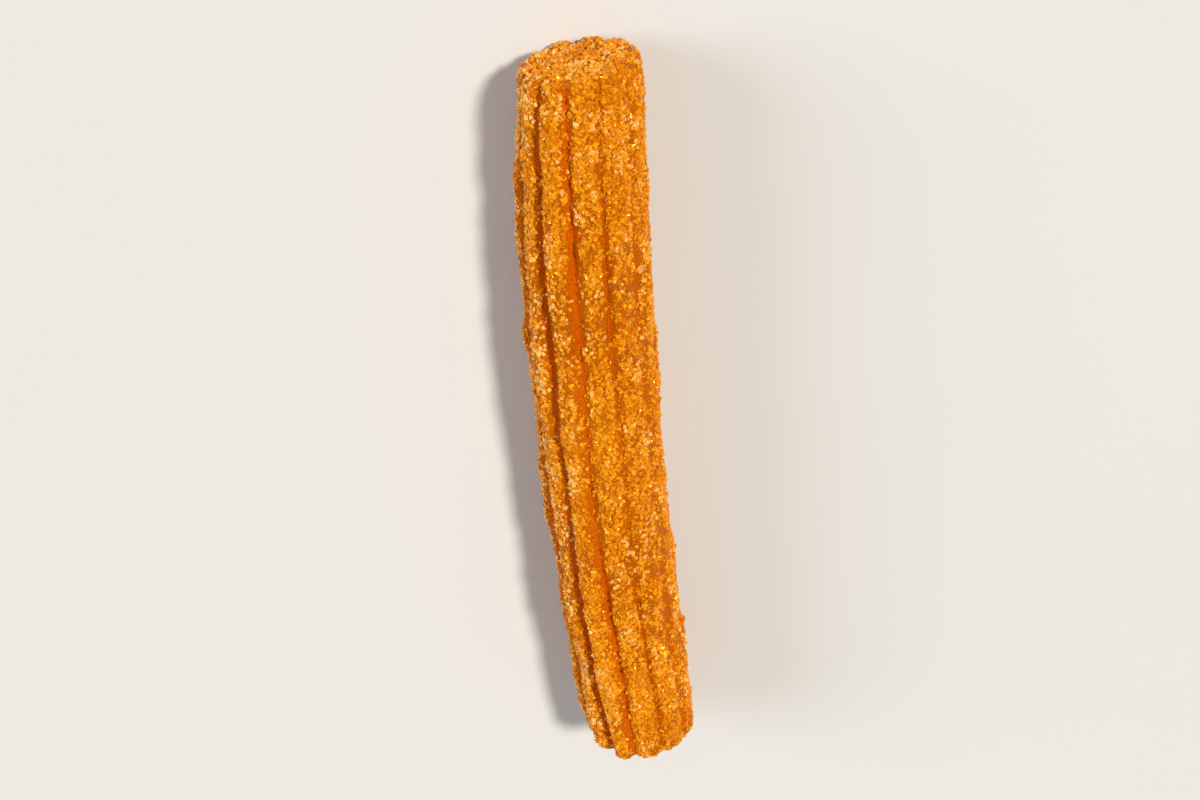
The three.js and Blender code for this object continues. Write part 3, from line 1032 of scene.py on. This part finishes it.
class ChurroStageSettings(bpy.types.PropertyGroup):
    """The table, the lights and the camera."""

    table_size: length_setting("Table Size", "Width of the table top", 6.0)
    key_strength: strength_setting("Key", "Strength of the main light", 2.8)
    fill_strength: strength_setting("Fill", "Strength of the light opposite", 1.52)
    daylight: strength_setting("Daylight", "Strength of the light from all round", 0.27)
    backdrop: strength_setting("Backdrop", "Brightness seen behind the table", 0.86)
    camera_height: length_setting("Camera Height", "Over the table", 275 * MM)
    camera_setback: length_setting("Camera Setback", "From the churro's middle towards +Y", 148 * MM)
    camera_aim: length_setting("Camera Aim", "From the churro's middle towards +Y", 6 * MM)
    camera_lens: FloatProperty(
        name="Lens", description="Focal length", default=51.0, min=1.0, unit="CAMERA"
    )
    camera_roll: FloatProperty(
        name="Roll",
        description="How far the churro leans in the view",
        default=math.radians(5.0),
        unit="ROTATION",
    )


SETTINGS = {
    "churro_dough": ChurroDoughSettings,
    "churro_sugar": ChurroSugarSettings,
    "churro_colours": ChurroColourSettings,
    "churro_stage": ChurroStageSettings,
}


# ---------------------------------------------------------------------------------------------------------
# Operators
# ---------------------------------------------------------------------------------------------------------


def find_dough():
    """The dough, which the sugar sticks to."""
    dough = bpy.data.objects.get("dough")
    if dough is None:
        raise RuntimeError("Make the dough before strewing anything on it")
    return dough


class CHURRO_OT_dough(bpy.types.Operator):
    """Make the fried dough over the frame's solid"""

    bl_idname = "churro.dough"
    bl_label = "Make Dough"

    def execute(self, context):
        scene = context.scene
        form = DoughForm(scene.churro_dough)
        outline = lengthwise_outline(form)
        ridge, across = ridge_places()
        rows, columns = len(outline), len(ridge)
        grid = np.ones((rows, columns))
        reach = outline[:, :1] * grid
        points, in_groove, place = form.surface(
            ridge[None] * np.ones((rows, 1), dtype=int),
            across[None] * grid,
            outline[:, 1:] * grid,
            reach,
        )
        ends = np.array([points[0].mean(axis=0), points[-1].mean(axis=0)])
        vertices = np.concatenate([points.reshape(-1, 3), ends])
        material = fried_dough_material(scene.churro_colours)
        dough = new_object("dough", vertices, grid_faces(rows, columns), material)
        dough.data.shade_smooth()
        groove = in_groove * np.clip(reach, 0, 1) ** END_SHARPNESS
        cover = self.sugar_cover(scene.churro_sugar, place, groove)
        # The last two points, the middles of the cut ends, lie in no groove and have their full sugar
        add_point_values(dough.data, "groove", np.append(groove.ravel(), (0, 0)))
        add_point_values(dough.data, "sugar", np.append(cover.ravel(), (1, 1)))
        map_dough(dough.data, outline, columns)
        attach(dough, BODY)
        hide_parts(NODE)
        return {"FINISHED"}

    def sugar_cover(self, sugar, place, groove):
        """How much sugar stuck, from 0 to about 1: less in the grooves, in patches and between clumps."""
        patches = make_unevenness(PATCH_SEED, WAVES, PATCH_SPACING)(place)
        lace = make_unevenness(LACE_SEED, 2 * WAVES, LACE_SPACING)(place)
        bared = np.clip(groove / BARE_DEPTH, 0, 1) ** BARE_STEEPNESS
        cover = 1 - sugar.bare_grooves * bared + sugar.patchiness * patches + sugar.laciness * lace
        return np.clip(cover, *COVER_LIMITS)


class CHURRO_OT_sugar(bpy.types.Operator):
    """Strew coarse, medium, fine and crushed sugar over the dough"""

    bl_idname = "churro.sugar"
    bl_label = "Strew Sugar"

    def execute(self, context):
        sugar, colours = context.scene.churro_sugar, context.scene.churro_colours
        dough = find_dough()
        for kind_name, kind in SUGAR_KINDS.items():
            name = f"sugar_{kind_name}"
            largest = getattr(sugar, f"{kind_name}_size")
            count = getattr(sugar, f"{kind_name}_count")
            piece = strew(name, dough, kind, largest, count, sugar_material(name, colours))
        return {"FINISHED"}


class CHURRO_OT_cinnamon(bpy.types.Operator):
    """Strew specks of ground cinnamon among the sugar"""

    bl_idname = "churro.cinnamon"
    bl_label = "Strew Cinnamon"

    def execute(self, context):
        sugar = context.scene.churro_sugar
        material = cinnamon_material(context.scene.churro_colours)
        piece = strew(
            "cinnamon", find_dough(), CINNAMON_KIND, sugar.cinnamon_size, sugar.cinnamon_count, material
        )
        return {"FINISHED"}


class CHURRO_OT_stage(bpy.types.Operator):
    """Lay the table, and set the lights and the camera"""

    bl_idname = "churro.stage"
    bl_label = "Set Stage"

    def execute(self, context):
        scene = context.scene
        stage = scene.churro_stage
        self.lay_table(stage, scene.churro_colours)
        self.set_lamps(stage)
        self.set_daylight(stage)
        scene.camera = self.place_camera(stage)
        scene.view_settings.view_transform = "Standard"
        return {"FINISHED"}

    def lay_table(self, stage, colours):
        """A pale table top just under the churro."""
        corners = stage.table_size / 2 * np.array([(-1, -1, 0), (1, -1, 0), (1, 1, 0), (-1, 1, 0)])
        corners[:, 2] = -FLOOR_GAP
        table = new_object("table_top", corners, [[0, 1, 2, 3]], table_material(colours))

    def set_lamps(self, stage):
        """A warm light from the right, and a broader cool one from the left."""
        lamps = (
            ("key_light", KEY_SOURCE, stage.key_strength, KEY_BREADTH_DEG, KEY_COLOUR),
            ("fill_light", FILL_SOURCE, stage.fill_strength, FILL_BREADTH_DEG, FILL_COLOUR),
        )
        for name, source, strength, breadth_deg, colour in lamps:
            lamp = bpy.data.lights.new(name, "SUN")
            lamp.angle = math.radians(breadth_deg)
            lamp.energy = strength
            lamp.color = colour
            holder = bpy.data.objects.new(name, lamp)
            holder.location = source
            holder.rotation_euler = (-Vector(source)).to_track_quat("-Z", "Y").to_euler()
            bpy.context.scene.collection.objects.link(holder)

    def set_daylight(self, stage):
        """Even light from all round, and a brighter backdrop that only the camera sees."""
        world = bpy.data.worlds.new("daylight")
        world.use_nodes = True
        nodes = Nodes(world.node_tree)
        seen = nodes.add("ShaderNodeLightPath").outputs["Is Camera Ray"]
        beyond = nodes.math("MULTIPLY", seen, stage.backdrop - stage.daylight)
        strength = nodes.math("ADD", beyond, stage.daylight)
        nodes.feed(world.node_tree.nodes["Background"], {"Color": DAYLIGHT_COLOUR, "Strength": strength})
        bpy.context.scene.world = world

    def place_camera(self, stage):
        """A camera that looks down on the churro from beyond its slimmer end, with that end at the top."""
        camera = bpy.data.objects.new("camera", bpy.data.cameras.new("camera"))
        camera.data.lens = stage.camera_lens
        camera.data.clip_start = NEAREST_SEEN
        place = Vector((0, stage.camera_setback, stage.camera_height))
        target = Vector((0, stage.camera_aim, CAD_BOX[1][2] / 2))
        forward = (target - place).normalized()
        upward = Vector((math.sin(stage.camera_roll), math.cos(stage.camera_roll), 0))
        right = forward.cross(upward).normalized()
        up = right.cross(forward)
        axes = Matrix((right, up, -forward)).transposed()
        camera.matrix_world = Matrix.Translation(place) @ axes.to_4x4()
        bpy.context.scene.collection.objects.link(camera)
        return camera


OPERATORS = (CHURRO_OT_dough, CHURRO_OT_sugar, CHURRO_OT_cinnamon, CHURRO_OT_stage)


class CHURRO_PT_panel(bpy.types.Panel):
    """The churro's settings and steps"""

    bl_idname = "CHURRO_PT_panel"
    bl_label = "Sugared Churro"
    bl_space_type = "VIEW_3D"
    bl_region_type = "UI"
    bl_category = "Churro"

    def draw(self, context):
        for name, group in SETTINGS.items():
            box = self.layout.box()
            box.label(text=group.__doc__)
            for setting in group.__annotations__:
                box.prop(getattr(context.scene, name), setting)
        for operator in OPERATORS:
            self.layout.operator(operator.bl_idname)


CLASSES = (*SETTINGS.values(), *OPERATORS, CHURRO_PT_panel)


def register():
    for cls in CLASSES:
        bpy.utils.register_class(cls)
    for name, group in SETTINGS.items():
        setattr(bpy.types.Scene, name, PointerProperty(type=group))


def unregister():
    for name in SETTINGS:
        delattr(bpy.types.Scene, name)
    for cls in reversed(CLASSES):
        bpy.utils.unregister_class(cls)


def main():
    """Builds everything in order."""
    register()
    bpy.ops.churro.dough()
    bpy.ops.churro.sugar()
    bpy.ops.churro.cinnamon()
    bpy.ops.churro.stage()


if __name__ == "__main__":
    main()
